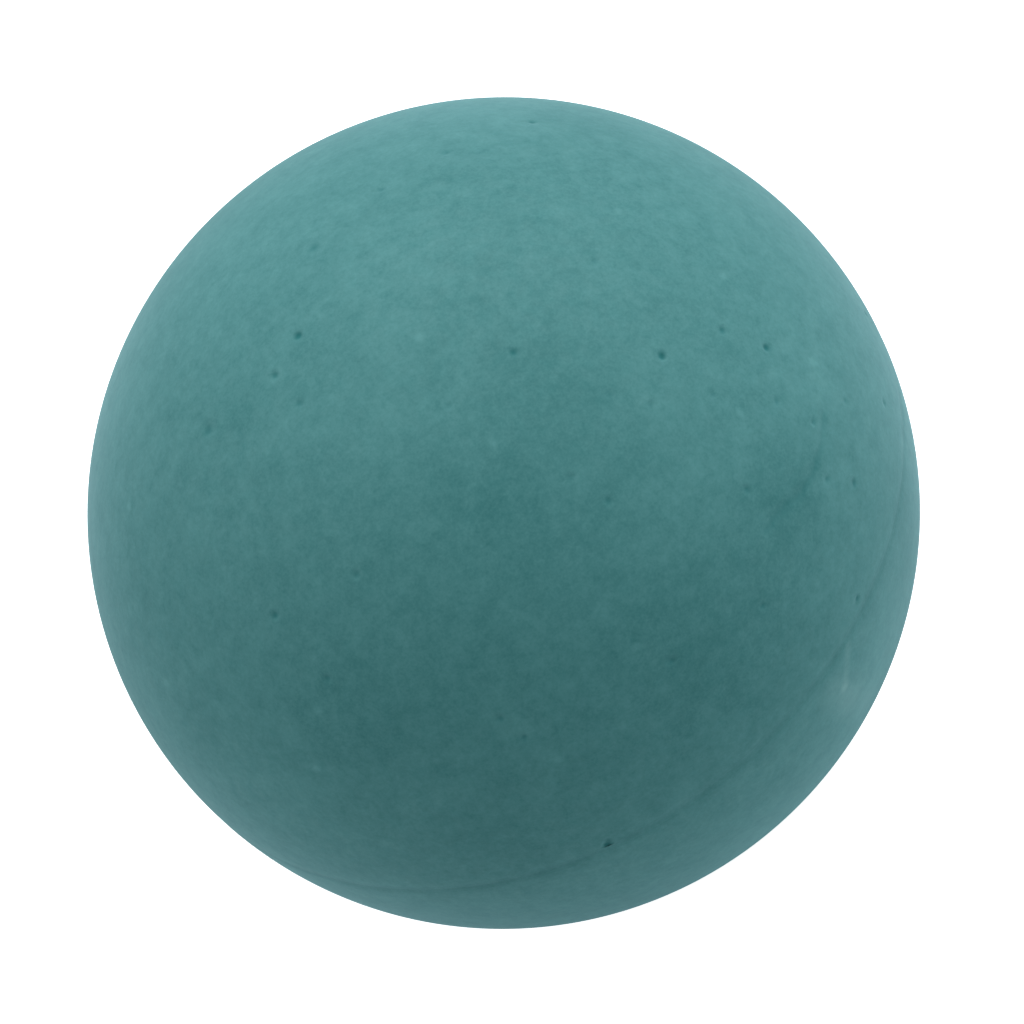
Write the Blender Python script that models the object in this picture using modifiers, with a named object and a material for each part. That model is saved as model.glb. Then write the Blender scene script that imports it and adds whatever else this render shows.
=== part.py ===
"""A hollow rubber ball for beach paddle games.

Two moulded half shells are cemented rim to rim. The seam lies in the XY plane, the ball's
centre is the origin, and the half shells share the Z axis. Lengths are in metres.
"""
import math

import bpy

# The ball
SEAM_DIAMETER = 0.0400   # outside, across the ball in the plane of the seam
POLE_TO_POLE = 0.0397    # outside, along the axis, where the ball is a little short
WALL = 0.0045            # rubber wall of both half shells

# The seam
CEMENT_FILM = 0.00015    # cured cement between the two rims
RIM_ROUND = 0.00012      # buffed outer edge of a rim, which leaves the fine line round the ball
RIM_CHAMFER = 0.0006     # trimmed inner edge of a rim, where spare cement gathers
BEAD_RISE = 0.0003       # cement bead inside the ball, proud of the inner wall

# Fineness of the turned surfaces
TURN_STEPS = 64
OUTER_STEPS = 16
INNER_STEPS = 12
ROUND_STEPS = 3
BEAD_STEPS = 6
WELD_SHARE = 0.01        # points closer than this share of a rim's round are one

# Finishes, as linear colour and roughness
TEAL_RUBBER = (0.075, 0.245, 0.255, 1.0)
CEMENT = (0.060, 0.200, 0.210, 1.0)
RUBBER_ROUGHNESS = 0.72
CEMENT_ROUGHNESS = 0.80

# Places that the rims and the cement share
RIM_HEIGHT = CEMENT_FILM / 2
CHAMFER_HEIGHT = RIM_HEIGHT + RIM_CHAMFER


def quarter_ellipse(radius, height, low, steps):
    """Points (x, z) from the pole down to the height low, on an ellipse round the origin."""
    end = math.acos(low / height)
    turns = [end * step / steps for step in range(steps + 1)]
    return [(radius * math.sin(turn), height * math.cos(turn)) for turn in turns]


def outer_wall():
    """The outside of a half shell, from its pole to where the rim's round begins."""
    return quarter_ellipse(SEAM_DIAMETER / 2, POLE_TO_POLE / 2, RIM_HEIGHT + RIM_ROUND, OUTER_STEPS)


def inner_wall():
    """The inside of a half shell, from its pole to where the rim's chamfer begins."""
    return quarter_ellipse(SEAM_DIAMETER / 2 - WALL, POLE_TO_POLE / 2 - WALL, CHAMFER_HEIGHT, INNER_STEPS)


def rim_outer_radius():
    """Radius where the flat rim ends and its outer round begins."""
    return outer_wall()[-1][0] - RIM_ROUND


def rim_inner_radius():
    """Radius where the flat rim ends and its inner chamfer begins."""
    return inner_wall()[-1][0] + RIM_CHAMFER


def half_shell_profile():
    """Outline of one half shell: outside, round, flat rim, chamfer and inside."""
    round_centre = (rim_outer_radius(), RIM_HEIGHT + RIM_ROUND)
    turns = [math.pi / 2 * step / ROUND_STEPS for step in range(1, ROUND_STEPS + 1)]
    rim_round = [(round_centre[0] + RIM_ROUND * math.cos(turn),
                  round_centre[1] - RIM_ROUND * math.sin(turn)) for turn in turns]
    chamfer_start = (rim_inner_radius(), RIM_HEIGHT)
    return outer_wall() + rim_round + [chamfer_start] + inner_wall()[::-1]


def cement_profile():
    """Outline of the cement ring: a film between the rims and a bead over both chamfers."""
    bead_edge = inner_wall()[-1][0]
    half_angle = 2 * math.atan(BEAD_RISE / CHAMFER_HEIGHT)
    bead_radius = CHAMFER_HEIGHT / math.sin(half_angle)
    bead_centre = bead_edge - BEAD_RISE + bead_radius
    turns = [half_angle * (2 * step / BEAD_STEPS - 1) for step in range(BEAD_STEPS + 1)]
    bead = [(bead_centre - bead_radius * math.cos(turn), bead_radius * math.sin(turn)) for turn in turns]
    bead[0] = (bead_edge, -CHAMFER_HEIGHT)
    bead[-1] = (bead_edge, CHAMFER_HEIGHT)
    outer_edge = [(rim_outer_radius(), RIM_HEIGHT), (rim_outer_radius(), -RIM_HEIGHT)]
    return outer_edge + [(rim_inner_radius(), -RIM_HEIGHT)] + bead + [(rim_inner_radius(), RIM_HEIGHT)]


def finish(name, colour, roughness):
    """A matt, non-metal finish."""
    material = bpy.data.materials.new(name)
    material.use_nodes = True
    shader = material.node_tree.nodes["Principled BSDF"]
    shader.inputs["Base Color"].default_value = colour
    shader.inputs["Roughness"].default_value = roughness
    shader.inputs["Metallic"].default_value = 0.0
    return material


def turned(name, profile, is_ring, material):
    """A piece turned about Z from a profile of (x, z) points; a ring's profile closes on itself."""
    points = [(x, 0.0, z) for x, z in profile]
    edges = [(index, index + 1) for index in range(len(points) - 1)]
    if is_ring:
        edges.append((len(points) - 1, 0))
    mesh = bpy.data.meshes.new(name)
    mesh.from_pydata(points, edges, [])
    mesh.materials.append(material)
    piece = bpy.data.objects.new(name, mesh)
    screw = piece.modifiers.new("Turn", "SCREW")
    screw.axis = "Z"
    screw.angle = 2 * math.pi
    screw.steps = TURN_STEPS
    screw.render_steps = TURN_STEPS
    screw.use_merge_vertices = True
    screw.merge_threshold = WELD_SHARE * RIM_ROUND
    screw.use_smooth_shade = True
    return piece


def build_ball():
    """The three pieces, held by an empty at the ball's centre."""
    for old in list(bpy.data.objects):
        bpy.data.objects.remove(old)
    ball = bpy.data.collections.new("beach_paddle_ball")
    bpy.context.scene.collection.children.link(ball)
    centre = bpy.data.objects.new("ball_centre", None)

    upper = turned("upper_half_shell", half_shell_profile(), False,
                   finish("upper_shell_rubber", TEAL_RUBBER, RUBBER_ROUGHNESS))
    lower = turned("lower_half_shell", half_shell_profile(), False,
                   finish("lower_shell_rubber", TEAL_RUBBER, RUBBER_ROUGHNESS))
    lower.rotation_euler = (math.pi, 0.0, 0.0)
    cement = turned("seam_cement", cement_profile(), True,
                    finish("cured_rubber_cement", CEMENT, CEMENT_ROUGHNESS))

    ball.objects.link(centre)
    for piece in (upper, lower, cement):
        piece.parent = centre
        ball.objects.link(piece)


build_ball()
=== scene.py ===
import math
import random

import bmesh
import bpy
from mathutils import Matrix, Vector
from mathutils.kdtree import KDTree


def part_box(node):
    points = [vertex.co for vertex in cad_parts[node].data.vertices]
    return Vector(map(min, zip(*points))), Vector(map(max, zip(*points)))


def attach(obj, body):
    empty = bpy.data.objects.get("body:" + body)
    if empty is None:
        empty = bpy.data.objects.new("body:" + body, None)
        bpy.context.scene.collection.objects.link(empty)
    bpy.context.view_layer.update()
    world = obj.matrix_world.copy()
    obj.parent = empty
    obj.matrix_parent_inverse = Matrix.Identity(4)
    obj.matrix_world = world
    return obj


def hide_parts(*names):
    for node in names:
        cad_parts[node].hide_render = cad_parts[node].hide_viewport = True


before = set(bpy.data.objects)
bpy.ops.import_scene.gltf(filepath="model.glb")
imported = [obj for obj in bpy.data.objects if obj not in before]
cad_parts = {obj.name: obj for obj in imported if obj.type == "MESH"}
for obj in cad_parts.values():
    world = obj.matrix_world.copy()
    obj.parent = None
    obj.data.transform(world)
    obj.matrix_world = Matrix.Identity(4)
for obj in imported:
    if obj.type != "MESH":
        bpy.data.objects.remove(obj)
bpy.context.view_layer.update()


# Viewpoint. The photograph looks down on the seam from in front, six ball radii away, with the
# camera rolled so that the pole of the upper half shell leans to the left of the picture.
SHELL_LOW, SHELL_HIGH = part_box("upper_half_shell")
SEAM_RADIUS = SHELL_HIGH.x
PICTURE_PX = 1024
BALL_CENTRE_PX = Vector((503.4, 512.6))
BALL_RADIUS_PX = 417.0
VIEW_DISTANCE = 6 * SEAM_RADIUS
VIEW_ELEVATION = math.radians(48.25)
VIEW_ROLL = math.radians(36.5)
SENSOR_WIDTH = 36.0
NEAR_CLIP = 0.01

ball_spread = math.tan(math.asin(SEAM_RADIUS / VIEW_DISTANCE))
to_camera = Vector((0.0, -math.cos(VIEW_ELEVATION), math.sin(VIEW_ELEVATION)))
level_up = Vector((0.0, math.sin(VIEW_ELEVATION), math.cos(VIEW_ELEVATION)))
level_right = Vector((1.0, 0.0, 0.0))
picture_up = level_up * math.cos(VIEW_ROLL) + level_right * math.sin(VIEW_ROLL)
picture_right = level_right * math.cos(VIEW_ROLL) - level_up * math.sin(VIEW_ROLL)

lens = bpy.data.cameras.new("camera")
lens.sensor_width = SENSOR_WIDTH
lens.lens = SENSOR_WIDTH * BALL_RADIUS_PX / (PICTURE_PX * ball_spread)
lens.shift_x = 0.5 - BALL_CENTRE_PX.x / PICTURE_PX
lens.shift_y = BALL_CENTRE_PX.y / PICTURE_PX - 0.5
lens.clip_start = NEAR_CLIP
camera = bpy.data.objects.new("camera", lens)
camera.matrix_world = (Matrix.Translation(to_camera * VIEW_DISTANCE)
                       @ Matrix((picture_right, picture_up, to_camera)).transposed().to_4x4())
bpy.context.scene.collection.objects.link(camera)
bpy.context.scene.camera = camera


# Half shells. Each is a cup of teal rubber, pressed in a mould with the wall the same all round,
# then trimmed at the rim: a small round outside, a flat to glue, and a chamfer inside. The rims
# sink a little as the joint cures. Both come from one mould, so one cup is modelled and copied.
POLE_HEIGHT = SHELL_HIGH.z
WALL = 0.0045
CEMENT_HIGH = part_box("seam_cement")[1]
RIM_HEIGHT = SHELL_LOW.z
RIM_ROUND = SEAM_RADIUS - CEMENT_HIGH.x
RIM_SINK = 0.00001
RIM_RADIUS = SEAM_RADIUS - RIM_SINK
SINK_REACH = 0.0003
FINE_BAND = 0.001
CHAMFER_HEIGHT = CEMENT_HIGH.z
ROUND_STEPS = 4
INNER_STEPS = 8
CUBE_CUTS = 3
SKIN_LEVELS = 5
SAME_POINT = 0.000001


def only(piece):
    """Select one object and nothing else."""
    bpy.ops.object.select_all(action="DESELECT")
    piece.select_set(True)
    bpy.context.view_layer.objects.active = piece


def modify(piece, kind, **settings):
    """Add a modifier and apply it."""
    only(piece)
    modifier = piece.modifiers.new(kind.title(), kind)
    for name, value in settings.items():
        setattr(modifier, name, value)
    bpy.ops.object.modifier_apply(modifier=modifier.name)


def extrude_ring(start, profile):
    """Carry the selected ring, now at start, along a profile of (radius, height) points."""
    radius, height = start
    for next_radius, next_height in profile:
        bpy.ops.mesh.extrude_region_move(
            TRANSFORM_OT_translate={"value": (0.0, 0.0, next_height - height)})
        widen = next_radius / radius
        bpy.ops.transform.resize(value=(widen, widen, 1.0), center_override=(0.0, 0.0, next_height))
        radius, height = next_radius, next_height


def rim_round(start):
    """The rounded outer edge of the upper rim, from an angle of its turn down to the flat."""
    turns = [start + (math.pi / 2 - start) * step / ROUND_STEPS for step in range(ROUND_STEPS + 1)]
    return [(RIM_RADIUS - RIM_ROUND * (1 - math.cos(turn)),
             RIM_HEIGHT + RIM_ROUND * (1 - math.sin(turn))) for turn in turns]


def inner_wall():
    """The inside of the upper shell, from the chamfer up to just short of the pole."""
    radius, height = SEAM_RADIUS - WALL, POLE_HEIGHT - WALL
    start = math.asin(CHAMFER_HEIGHT / height)
    turns = [start + (math.pi / 2 - start) * step / INNER_STEPS for step in range(INNER_STEPS)]
    return [(radius * math.cos(turn), height * math.sin(turn)) for turn in turns]


bpy.ops.object.select_all(action="DESELECT")
bpy.ops.mesh.primitive_cube_add(size=2 * SEAM_RADIUS)
upper_shell = bpy.context.object
upper_shell.name = "upper_rubber_shell"
bpy.ops.object.mode_set(mode="EDIT")
bpy.ops.mesh.subdivide(number_cuts=CUBE_CUTS)
bpy.ops.object.mode_set(mode="OBJECT")
modify(upper_shell, "CAST", factor=1.0, use_radius_as_size=False, size=SEAM_RADIUS)
modify(upper_shell, "SUBSURF", levels=SKIN_LEVELS, render_levels=SKIN_LEVELS)
only(upper_shell)
bpy.ops.object.mode_set(mode="EDIT")
bpy.ops.mesh.select_mode(type="FACE")
bpy.ops.mesh.select_all(action="DESELECT")
skin = bmesh.from_edit_mesh(upper_shell.data)
for face in skin.faces:
    face.select_set(abs(face.calc_center_median().z) < FINE_BAND)
bpy.ops.mesh.subdivide(number_cuts=1, ngon=False)
bpy.ops.object.mode_set(mode="OBJECT")
modify(upper_shell, "CAST", factor=1.0, use_radius_as_size=False, size=SEAM_RADIUS)

rounded = rim_round(0.0)
inside = inner_wall()
chamfer_radius = inside[0][0]
flat_end = (chamfer_radius + CHAMFER_HEIGHT - RIM_HEIGHT, RIM_HEIGHT)
bpy.ops.object.mode_set(mode="EDIT")
bpy.ops.mesh.select_all(action="SELECT")
bpy.ops.transform.resize(value=(1.0, 1.0, POLE_HEIGHT / SEAM_RADIUS), center_override=(0.0, 0.0, 0.0))
bpy.ops.mesh.bisect(plane_co=(0.0, 0.0, rounded[0][1]), plane_no=(0.0, 0.0, 1.0), clear_inner=True,
                    threshold=SAME_POINT)
bpy.ops.mesh.select_mode(type="EDGE")
bpy.ops.mesh.select_all(action="DESELECT")
skin = bmesh.from_edit_mesh(upper_shell.data)
for edge in skin.edges:
    edge.select_set(edge.is_boundary)
sink = RIM_RADIUS / SEAM_RADIUS
bpy.ops.transform.resize(value=(sink, sink, 1.0), center_override=(0.0, 0.0, 0.0),
                         use_proportional_edit=True, proportional_edit_falloff="SMOOTH",
                         proportional_size=SINK_REACH)
extrude_ring(rounded[0], rounded[1:] + [flat_end] + inside)
bpy.ops.mesh.merge(type="CENTER")
bpy.ops.object.mode_set(mode="OBJECT")

only(upper_shell)
bpy.ops.object.duplicate()
lower_shell = bpy.context.object
lower_shell.name = "lower_rubber_shell"
bpy.ops.transform.rotate(value=math.pi, orient_axis="X", center_override=(0.0, 0.0, 0.0))
bpy.ops.object.transform_apply(location=True, rotation=True, scale=True)


# Half shells: pits and scratches. Air and grit in the mould leave small dark pits in the rubber,
# thinly scattered, and play leaves fine scratches. Those that the photograph shows are placed by
# its pixels, and the far side's pits are strewn. A pit looks darkest a little above its middle.
DEEP_PITS_PX = [(607, 842), (662, 352), (295, 333), (767, 345)]
MIDDLE_PITS_PX = [(512, 350), (272, 372), (723, 328), (272, 613), (853, 481), (856, 598), (532, 118)]
FAINT_PITS_PX = [
    (670, 659), (296, 401), (776, 399), (826, 477), (763, 603), (326, 677), (813, 419), (498, 717),
    (746, 488), (379, 185), (523, 736), (446, 148), (883, 400), (865, 312), (608, 498), (608, 838),
    (354, 573)]
SLIGHT_PITS_PX = [(570, 476), (712, 391), (650, 403), (594, 257), (448, 401), (609, 391), (844, 399)]
BROAD_PITS_PX = [(206, 426), (312, 243)]
SCRATCHES_PX = [[(824, 416), (822, 444), (814, 470), (808, 483), (799, 496), (780, 512), (767, 529)]]
DARK_SIDE_PX = Vector((1, 2))
# Radius and depth of each kind of mark
DEEP_PIT = (0.00036, 0.000048)
MIDDLE_PIT = (0.00036, 0.000033)
FAINT_PIT = (0.00034, 0.000024)
SLIGHT_PIT = (0.00034, 0.000015)
BROAD_PIT = (0.00054, 0.000028)
SCRATCH = (0.00042, 0.000027)
SCRATCH_STEP = 0.00005
STREWN_PITS = 40
STREWN_SEED = 11
# Strewn pits lie where the cosine of the angle to the camera is less than this
STREWN_FROM = 0.1
# The weaker presses beside a pit: how many, and their offset, radius and depth as shares of the pit's
SIDE_PRESSES = 2
SIDE_OFFSET = 0.33
SIDE_RADIUS = 0.7
SIDE_DEPTH = 0.35
# How far round a mark the skin is cut finer, in radii of the mark, and the cuts of each round
FINE_CUTS = ((1.6, 1), (1.1, 2))
SMOOTH_ANGLE = math.radians(50)


def seen_at(pixel):
    """The place on the ball that the photograph shows at a pixel."""
    across = (pixel[0] - BALL_CENTRE_PX.x) / BALL_RADIUS_PX * ball_spread
    upward = (BALL_CENTRE_PX.y - pixel[1]) / BALL_RADIUS_PX * ball_spread
    ray = (picture_right * across + picture_up * upward - to_camera).normalized()
    eye = to_camera * VIEW_DISTANCE
    middle = -eye.dot(ray)
    beside = (eye + ray * middle).length
    return eye + ray * (middle - math.sqrt(max(0.0, SEAM_RADIUS ** 2 - beside ** 2)))


def on_skin(place):
    """The point of the moulded skin that lies out from the centre through a place."""
    level = Vector((place.x / SEAM_RADIUS, place.y / SEAM_RADIUS, place.z / POLE_HEIGHT)).length
    return place / level


def any_way(chance):
    """A direction picked by chance, each as likely as the next."""
    return Vector([chance.gauss(0.0, 1.0) for axis in "xyz"]).normalized()


def pit_marks():
    """The pits of each size, as (places, radius, depth)."""
    sizes = ((DEEP_PITS_PX, DEEP_PIT), (MIDDLE_PITS_PX, MIDDLE_PIT),
             (FAINT_PITS_PX, FAINT_PIT), (SLIGHT_PITS_PX, SLIGHT_PIT), (BROAD_PITS_PX, BROAD_PIT))
    pits = [([on_skin(seen_at(DARK_SIDE_PX + Vector(pixel))) for pixel in pixels], *size)
            for pixels, size in sizes]
    strewn = random.Random(STREWN_SEED)
    left = STREWN_PITS
    while left:
        way = any_way(strewn)
        if way.dot(to_camera) < STREWN_FROM:
            strewn.choice(pits)[0].append(on_skin(way))
            left -= 1
    return pits


def side_marks(pits):
    """Weaker presses beside the middle of each pit, which put it out of round."""
    uneven = random.Random(STREWN_SEED)
    sides = []
    for places, radius, depth in pits:
        for press in range(SIDE_PRESSES):
            beside = [on_skin(place + any_way(uneven) * radius * SIDE_OFFSET) for place in places]
            sides.append((beside, radius * SIDE_RADIUS, depth * SIDE_DEPTH))
    return sides


def scratch_marks():
    """Every scratch, as (places close together along it, radius, depth)."""
    scratches = []
    for pixels in SCRATCHES_PX:
        corners = [on_skin(seen_at(pixel)) for pixel in pixels]
        places = corners[-1:]
        for start, end in zip(corners, corners[1:]):
            steps = math.ceil((end - start).length / SCRATCH_STEP)
            places += [on_skin(start.lerp(end, step / steps)) for step in range(steps)]
        scratches.append((places, *SCRATCH))
    return scratches


def press_marks(shell, marks, above):
    """Cut the skin fine round the marks that lie above or below the seam, then press them in."""
    only(shell)
    marks = [([place for place in places if (place.z > 0) == above], radius, depth)
             for places, radius, depth in marks]
    pressed = [(place, radius) for places, radius, depth in marks for place in places]
    centres = KDTree(len(pressed))
    for index, (place, radius) in enumerate(pressed):
        centres.insert(place, index)
    centres.balance()
    bpy.ops.object.mode_set(mode="EDIT")
    bpy.ops.mesh.select_mode(type="FACE")
    for reach, cuts in FINE_CUTS:
        bpy.ops.mesh.select_all(action="DESELECT")
        skin = bmesh.from_edit_mesh(shell.data)
        for face in skin.faces:
            place, index, gap = centres.find(face.calc_center_median())
            if gap < reach * pressed[index][1]:
                face.select_set(True)
        bpy.ops.mesh.subdivide(number_cuts=cuts, ngon=False)
    bpy.ops.mesh.select_mode(type="VERT")
    skin = bmesh.from_edit_mesh(shell.data)
    points = KDTree(len(skin.verts))
    for index, point in enumerate(skin.verts):
        points.insert(point.co, index)
    points.balance()
    for places, radius, depth in marks:
        bpy.ops.mesh.select_all(action="DESELECT")
        skin = bmesh.from_edit_mesh(shell.data)
        skin.verts.ensure_lookup_table()
        for place in places:
            skin.verts[points.find(place)[1]].select_set(True)
        if places:
            bpy.ops.transform.shrink_fatten(value=-depth, use_proportional_edit=True,
                                            proportional_edit_falloff="SMOOTH", proportional_size=radius)
    bpy.ops.object.mode_set(mode="OBJECT")


pits = pit_marks()
marks = pits + side_marks(pits) + scratch_marks()
press_marks(upper_shell, marks, above=True)
press_marks(lower_shell, marks, above=False)

for shell in (upper_shell, lower_shell):
    only(shell)
    bpy.ops.object.shade_smooth_by_angle(angle=SMOOTH_ANGLE)


# Half shells: finish. The teal is mixed through the rubber, a little cloudy and flecked, with a
# fine matt grain from the mould. Dirt and painted shade darken the pits, the scratch and the seam,
# bloom makes a few places paler, the rubber below the seam is painted paler for light from below,
# patches near the ball's lower edge are painted light and shade, and a lip has a painted highlight.
DARK_TEAL = (0.0145, 0.140, 0.144, 1.0)
PALE_TEAL = (0.0795, 0.260, 0.267, 1.0)
# Dirt and painted shade in the pits, the scratch and the seam's groove: the deeper the skin is sunk, the
# darker it is painted
GRIME_AND_SHADE = (0.0, 0.122, 0.126, 1.0)
DARKEST_DEPTH = 0.00007
MIDDLE_TONE = 0.5
CLOUD_SIZE = 0.0014
CLOUD_DETAIL = 4.0
CLOUD_ROUGHNESS = 1.0
CLOUD_STRENGTH = 1.36
# Painted light: the rubber below the seam is painted paler, for light thrown up onto the lower shell from
# the table
LOWER_PAINTED_LIGHT = 0.09
LOWER_REACH = 0.0012
GRAIN_SIZE = 0.0006
GRAIN_DETAIL = 2.0
GRAIN_HEIGHT = 0.00001
MATT = 0.8
MATT_SPREAD = 0.2
SHEEN = 0.29
SHEEN_ROUGHNESS = 0.44
SHEEN_TINT = (0.55, 0.88, 1.0, 1.0)
# Dirt and painted shade along the seam: how far they reach, their tone, and how uneven they are
SEAM_REACH = 0.0004
SEAM_GRIME_AND_SHADE_TONE = -0.155
SMEAR_SIZE = 0.003
SMEAR_DETAIL = 3.0
SMEAR_SPREAD = 0.15
CLEANEST_SEAM = 0.7
# Painted highlight on a narrow band just above the seam, where a bulged rim would catch the light
LIP_HEIGHT = 0.0005
LIP_REACH = 0.0003
LIP_HIGHLIGHT_TONE = 0.05
WORN_SEAM_PX = (715, 785)
WORN_REACH = 0.011
WORN_SHARE = 0.4
# Paler and darker patches: where, how far they reach, and their tone. Some are the rubber's own
# uneven tone; those near the ball's lower edge are painted light and shade.
TONE_LIGHT_AND_SHADE_PATCHES_PX = [
    ((788, 499), 0.0033, -0.25), ((730, 655), 0.0070, -0.16), ((490, 490), 0.0035, -0.17),
    ((560, 390), 0.0040, -0.12), ((470, 185), 0.0050, -0.12), ((610, 150), 0.0050, -0.12),
    ((215, 425), 0.0038, -0.12), ((355, 718), 0.0040, -0.11), ((500, 855), 0.0065, -0.13),
    ((155, 600), 0.0060, -0.12), ((910, 530), 0.0040, -0.28), ((800, 375), 0.0045, 0.15),
    ((700, 420), 0.0050, 0.12), ((400, 270), 0.0050, 0.12), ((380, 420), 0.0060, 0.09),
    ((240, 230), 0.0080, 0.13), ((625, 360), 0.0030, 0.10), ((510, 745), 0.0030, 0.11),
    ((300, 800), 0.0035, 0.12), ((460, 805), 0.0030, 0.10), ((118, 385), 0.0060, 0.13),
    ((866, 702), 0.0060, 0.18), ((770, 828), 0.0060, 0.18), ((886, 640), 0.0035, 0.20),
    ((285, 425), 0.0025, 0.09), ((575, 112), 0.0040, -0.15), ((675, 528), 0.0022, 0.12),
    ((205, 722), 0.0030, -0.11), ((245, 772), 0.0022, 0.09)]
FLECKS_PX = [
    (127, 506), (493, 443), (724, 275), (813, 362), (741, 412), (559, 760), (317, 711), (316, 768),
    (419, 336), (619, 210), (165, 682), (637, 647)]
FLECK_REACH = 0.00035
FLECK_TONE = 0.36
# Bloom: spots and streaks, how far they reach, and their strength
BLOOM = (0.35, 0.55, 0.56, 1.0)
BLOOM_PX = [((850, 697), 0.0016, 0.06), ((845, 687), 0.0005, 0.14)]
STREAKS_PX = [((848, 644), (845, 687), 0.0004, 0.09), ((836, 691), (868, 702), 0.0016, 0.12)]


class Wire:
    """One output in a finish's node tree. Arithmetic on it adds Math nodes."""

    def __init__(self, socket):
        self.socket = socket

    @classmethod
    def node(cls, tree, kind, settings=None, sockets=None, output=0):
        """Add a node, set it, and give its sockets values or wires."""
        made = tree.nodes.new(kind)
        for name, value in (settings or {}).items():
            setattr(made, name, value)
        for name, value in (sockets or {}).items():
            if isinstance(value, Wire):
                tree.links.new(value.socket, made.inputs[name])
            else:
                made.inputs[name].default_value = value
        return cls(made.outputs[output])

    def math(self, operation, first, second):
        return Wire.node(self.socket.id_data, "ShaderNodeMath", {"operation": operation},
                         {0: first, 1: second})

    def __add__(self, other):
        return self.math("ADD", self, other)

    def __sub__(self, other):
        return self.math("SUBTRACT", self, other)

    def __rsub__(self, other):
        return self.math("SUBTRACT", other, self)

    def __mul__(self, other):
        return self.math("MULTIPLY", self, other)

    def __abs__(self):
        return self.math("ABSOLUTE", self, 0.0)

    __radd__ = __add__
    __rmul__ = __mul__


def noise(place, size, detail, roughness=0.5):
    """Soft lumps of about one size, with finer ones inside them, from -0.5 to 0.5."""
    lumps = Wire.node(place.socket.id_data, "ShaderNodeTexNoise", {},
                      {"Vector": place, "Scale": 1 / size, "Detail": detail, "Roughness": roughness})
    return lumps - 0.5


def ease(value, start, end):
    """0 up to start, 1 from end, and smooth between."""
    return Wire.node(value.socket.id_data, "ShaderNodeMapRange", {"interpolation_type": "SMOOTHSTEP"},
                     {"Value": value, "From Min": start, "From Max": end})


def blend(amount, first, second):
    """A colour between two. The Mix node has its colours at sockets 6 and 7, and its colour out at 2."""
    return Wire.node(amount.socket.id_data, "ShaderNodeMix", {"data_type": "RGBA"},
                     {0: amount, 6: first, 7: second}, output=2)


def near(place, pixel, reach):
    """1 where the photograph shows a pixel, and 0 from a reach away."""
    gap = Wire.node(place.socket.id_data, "ShaderNodeVectorMath", {"operation": "DISTANCE"},
                    {0: place, 1: on_skin(seen_at(pixel))}, output="Value")
    return ease(gap, reach, 0.0)


def near_line(place, start_pixel, end_pixel, reach):
    """1 along the line between two of the photograph's pixels, and 0 from a reach away."""
    tree = place.socket.id_data
    start, end = on_skin(seen_at(start_pixel)), on_skin(seen_at(end_pixel))
    along = end - start
    offset = Wire.node(tree, "ShaderNodeVectorMath", {"operation": "SUBTRACT"}, {0: place, 1: start})
    share = Wire.node(tree, "ShaderNodeVectorMath", {"operation": "DOT_PRODUCT"},
                      {0: offset, 1: along / along.length_squared}, output="Value")
    on_line = Wire.node(tree, "ShaderNodeClamp", {}, {"Value": share})
    closest = Wire.node(tree, "ShaderNodeVectorMath", {"operation": "SCALE"}, {0: along, "Scale": on_line})
    gap = Wire.node(tree, "ShaderNodeVectorMath", {"operation": "DISTANCE"},
                    {0: offset, 1: closest}, output="Value")
    return ease(gap, reach, 0.0)


def spots(place, listed):
    """The sum of soft spots, each listed as (pixel, reach, strength)."""
    total = 0.0
    for pixel, reach, strength in listed:
        total = total + strength * near(place, pixel, reach)
    return total


def height(place):
    """How far a place is above the seam."""
    return Wire.node(place.socket.id_data, "ShaderNodeSeparateXYZ", {}, {"Vector": place}, output="Z")


def seam_grime_and_shade(place):
    """Dirt and painted shade on the seam: uneven, worn off in one place, gone a little way to either side.
    """
    smears = noise(place, SMEAR_SIZE, SMEAR_DETAIL)
    uneven = CLEANEST_SEAM + (1 - CLEANEST_SEAM) * ease(smears, -SMEAR_SPREAD, SMEAR_SPREAD)
    left = 1 - WORN_SHARE * near(place, WORN_SEAM_PX, WORN_REACH)
    return ease(abs(height(place)), SEAM_REACH, 0.0) * uneven * left


def rubber_tone(place):
    """How pale the rubber is: cloudy, flecked, patchy in its own tone and with painted light and shade
    near the ball's lower edge, painted paler below the seam for light from below, with a painted
    highlight on a lip just above the seam, and with dirt and painted shade in between."""
    clouds = noise(place, CLOUD_SIZE, CLOUD_DETAIL, CLOUD_ROUGHNESS)
    # Painted light: paler below the seam
    below = ease(height(place), 0.0, -LOWER_REACH)
    mixed = MIDDLE_TONE + CLOUD_STRENGTH * clouds + LOWER_PAINTED_LIGHT * below
    flecks = spots(place, [(pixel, FLECK_REACH, FLECK_TONE) for pixel in FLECKS_PX])
    # Painted highlight on the lip above the seam
    lip = ease(abs(height(place) - LIP_HEIGHT), LIP_REACH, 0.0)
    # Dirt and painted shade along the seam, and the painted highlight on the lip
    seam = SEAM_GRIME_AND_SHADE_TONE * seam_grime_and_shade(place) + LIP_HIGHLIGHT_TONE * lip
    return mixed + flecks + spots(place, TONE_LIGHT_AND_SHADE_PATCHES_PX) + seam


def matt_rubber(name):
    """A matt finish with the dull glow of rubber seen edge on, as (material, shader, place wire)."""
    material = bpy.data.materials.new(name)
    material.use_nodes = True
    shader = material.node_tree.nodes["Principled BSDF"]
    shader.inputs["Roughness"].default_value = MATT
    shader.inputs["Sheen Weight"].default_value = SHEEN
    shader.inputs["Sheen Roughness"].default_value = SHEEN_ROUGHNESS
    shader.inputs["Sheen Tint"].default_value = SHEEN_TINT
    return material, shader, Wire.node(material.node_tree, "ShaderNodeTexCoord", output="Object")


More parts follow.
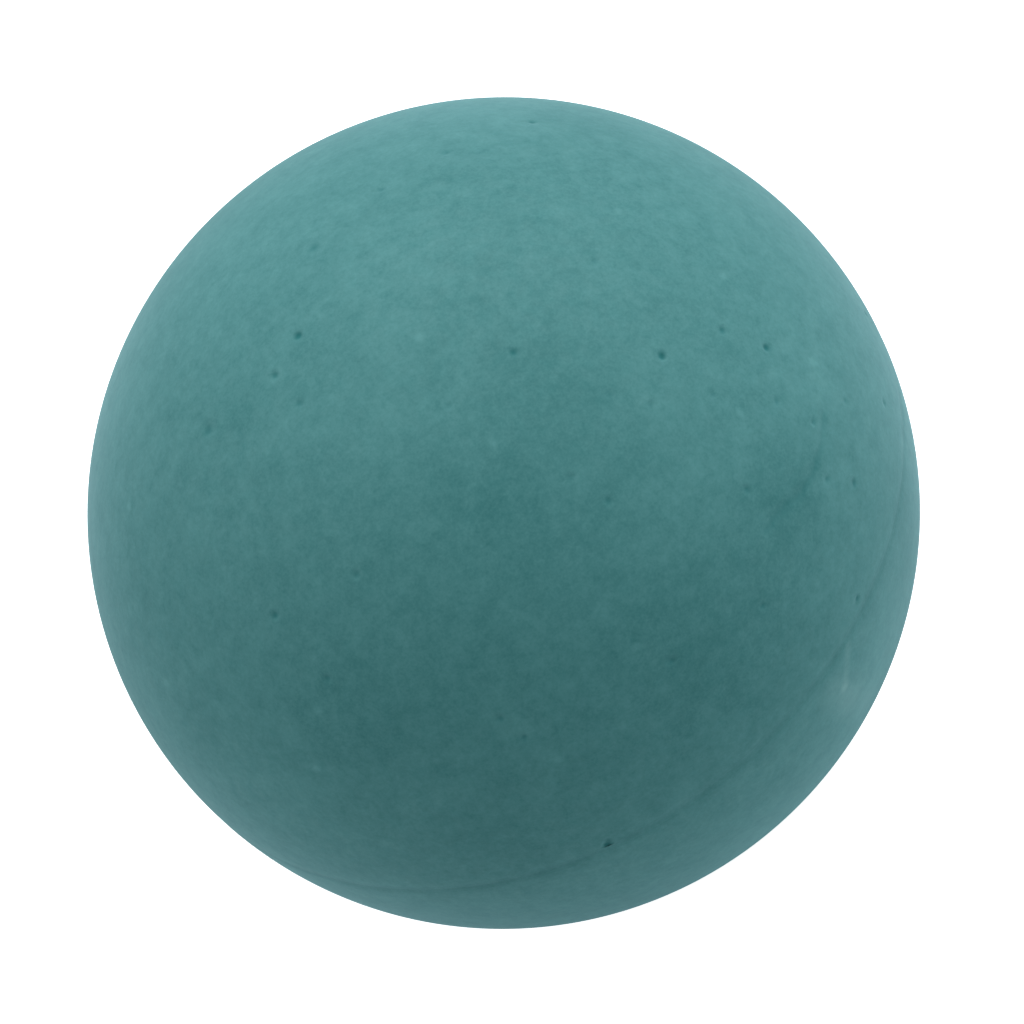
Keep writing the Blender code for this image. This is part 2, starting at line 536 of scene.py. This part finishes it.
def rubber_finish(name):
    """The shells' teal rubber."""
    material, shader, place = matt_rubber(name)
    tree = material.node_tree
    sunk = Wire.node(tree, "ShaderNodeAttribute", {"attribute_name": "sunk"}, output="Fac")
    bloom = spots(place, BLOOM_PX)
    for start_pixel, end_pixel, reach, strength in STREAKS_PX:
        bloom = bloom + strength * near_line(place, start_pixel, end_pixel, reach)
    bloomed = blend(bloom, blend(rubber_tone(place), DARK_TEAL, PALE_TEAL), BLOOM)
    # Dirt and painted shade: darker the deeper the skin is sunk
    colour = blend(ease(sunk, 0.0, DARKEST_DEPTH), bloomed, GRIME_AND_SHADE)
    tree.links.new(colour.socket, shader.inputs["Base Color"])
    grain = noise(place, GRAIN_SIZE, GRAIN_DETAIL)
    roughness = MATT + grain * MATT_SPREAD
    tree.links.new(roughness.socket, shader.inputs["Roughness"])
    bump = Wire.node(tree, "ShaderNodeBump", {}, {"Height": grain, "Distance": GRAIN_HEIGHT})
    tree.links.new(bump.socket, shader.inputs["Normal"])
    return material


def mark_sunk(shell):
    """Note on each point of a shell how far it lies under the moulded skin, to the rim's depth at most."""
    sunk = shell.data.attributes.new("sunk", "FLOAT", "POINT")
    for point, mark in zip(shell.data.vertices, sunk.data):
        mark.value = min((on_skin(point.co) - point.co).length, RIM_ROUND)


rubber = rubber_finish("teal_rubber")
for shell in (upper_shell, lower_shell):
    mark_sunk(shell)
    shell.data.materials.append(rubber)

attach(upper_shell, "root")
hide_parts("upper_half_shell")
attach(lower_shell, "root")
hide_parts("lower_half_shell")


# Seam cement. A film of rubber cement bonds the two rims, and is vulcanised with them. Its outer
# edge stays a little under the skin and makes the fine line, and spare cement is a bead inside.
# Dirt and painted shade, darkest at the middle of the groove
CEMENT_GRIME_AND_SHADE_TONE = -0.10
FILL_TURN = math.radians(8)
MENISCUS = 0.000005
CEMENT_SEGMENTS = 512
BEAD_RISE = 0.0003
BEAD_STEPS = 6


def cement_section():
    """The upper half of the ring's section, from the skin's side to the bead's middle."""
    seat = rim_round(FILL_TURN)
    bead = []
    for step in range(BEAD_STEPS + 1):
        rise = math.pi / 2 * step / BEAD_STEPS
        bead.append((chamfer_radius - BEAD_RISE * math.sin(rise), CHAMFER_HEIGHT * math.cos(rise)))
    return [(seat[0][0] - MENISCUS, 0.0)] + seat + [flat_end] + bead


section = cement_section()
groove_height = section[1][1]
lower_section = [(radius, -height) for radius, height in section[1:-1]]
outline = section + lower_section[::-1] + section[:1]
bpy.ops.object.select_all(action="DESELECT")
bpy.ops.mesh.primitive_circle_add(vertices=CEMENT_SEGMENTS, radius=outline[0][0])
cement_ring = bpy.context.object
cement_ring.name = "cement_ring"
bpy.ops.object.mode_set(mode="EDIT")
bpy.ops.mesh.select_all(action="SELECT")
extrude_ring(outline[0], outline[1:])
bpy.ops.mesh.select_all(action="SELECT")
bpy.ops.mesh.remove_doubles(threshold=SAME_POINT)
bpy.ops.mesh.normals_make_consistent(inside=False)
bpy.ops.object.mode_set(mode="OBJECT")
only(cement_ring)
bpy.ops.object.shade_smooth_by_angle(angle=SMOOTH_ANGLE)


def cement_finish(name):
    """Cured cement: much the shells' rubber, and darker towards the middle of the seam with dirt and
    painted shade.
    """
    material, shader, place = matt_rubber(name)
    # Dirt and painted shade, darkest at the middle of the groove
    grime_and_shade = seam_grime_and_shade(place) * ease(abs(height(place)), groove_height, 0.0)
    colour = blend(rubber_tone(place) + CEMENT_GRIME_AND_SHADE_TONE * grime_and_shade, DARK_TEAL, PALE_TEAL)
    material.node_tree.links.new(colour.socket, shader.inputs["Base Color"])
    return material


cement_ring.data.materials.append(cement_finish("seam_cement"))
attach(cement_ring, "root")
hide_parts("seam_cement")


# Floor and light. The ball lies on a plain white table in a white room, under three broad soft
# boxes: a strong one over it, towards the top of the picture, and a weaker one at either side.
FLOOR_RADIUS = 1.5
FLOOR_SIDES = 128
FLOOR_PAINT = (0.75, 0.80, 0.82, 1.0)
FLOOR_ROUGHNESS = 0.9
FLOOR_GLOW = 0.9
ROOM_LIGHT = 0.34
BOX_DISTANCE = 0.30
BOX_WIDTH = 0.25
BLACK = (0.0, 0.0, 0.0, 1.0)
WHITE = (1.0, 1.0, 1.0, 1.0)
COOL = (0.85, 1.0, 1.0, 1.0)
WARM = (1.08, 1.0, 0.985, 1.0)

# The camera sees the table and the walls plain white, and the ball is lit by them as they are
bpy.ops.object.select_all(action="DESELECT")
bpy.ops.mesh.primitive_circle_add(vertices=FLOOR_SIDES, radius=FLOOR_RADIUS, fill_type="NGON",
                                  location=(0.0, 0.0, -POLE_HEIGHT))
floor = bpy.context.object
floor.name = "floor"
white = bpy.data.materials.new("white_table")
white.use_nodes = True
table_top = white.node_tree.nodes["Principled BSDF"]
table_top.inputs["Base Color"].default_value = FLOOR_PAINT
table_top.inputs["Roughness"].default_value = FLOOR_ROUGHNESS
table_top.inputs["Emission Strength"].default_value = FLOOR_GLOW
looked_at = Wire.node(white.node_tree, "ShaderNodeLightPath", output="Is Camera Ray")
glow = blend(looked_at, BLACK, WHITE)
white.node_tree.links.new(glow.socket, table_top.inputs["Emission Color"])
floor.data.materials.append(white)

room = bpy.data.worlds.new("white_room")
bpy.context.scene.world = room
room.use_nodes = True
lit_walls = Wire.node(room.node_tree, "ShaderNodeBackground", {}, {"Color": COOL, "Strength": ROOM_LIGHT})
seen_walls = Wire.node(room.node_tree, "ShaderNodeBackground", {}, {"Color": WHITE})
looked_at = Wire.node(room.node_tree, "ShaderNodeLightPath", output="Is Camera Ray")
walls = Wire.node(room.node_tree, "ShaderNodeMixShader", {}, {0: looked_at, 1: lit_walls, 2: seen_walls})
room.node_tree.links.new(walls.socket, room.node_tree.nodes["World Output"].inputs["Surface"])


def soft_box(name, right, up, front, power, tint):
    """A square soft box that faces the ball, placed as the picture shows right, up and front."""
    way = picture_right * right + picture_up * up + to_camera * front
    lamp = bpy.data.lights.new(name, "AREA")
    lamp.size = BOX_WIDTH
    lamp.energy = power
    lamp.color = tint[:3]
    light = bpy.data.objects.new(name, lamp)
    light.location = way.normalized() * BOX_DISTANCE
    light.rotation_euler = way.to_track_quat("Z", "Y").to_euler()
    bpy.context.scene.collection.objects.link(light)


soft_box("top_box", right=0.0, up=1.0, front=0.5, power=0.813, tint=WARM)
soft_box("left_box", right=-1.0, up=0.2, front=0.3, power=0.386, tint=WHITE)
soft_box("right_box", right=1.0, up=0.5, front=0.4, power=0.26, tint=COOL)
bpy.context.scene.view_settings.view_transform = "Standard"
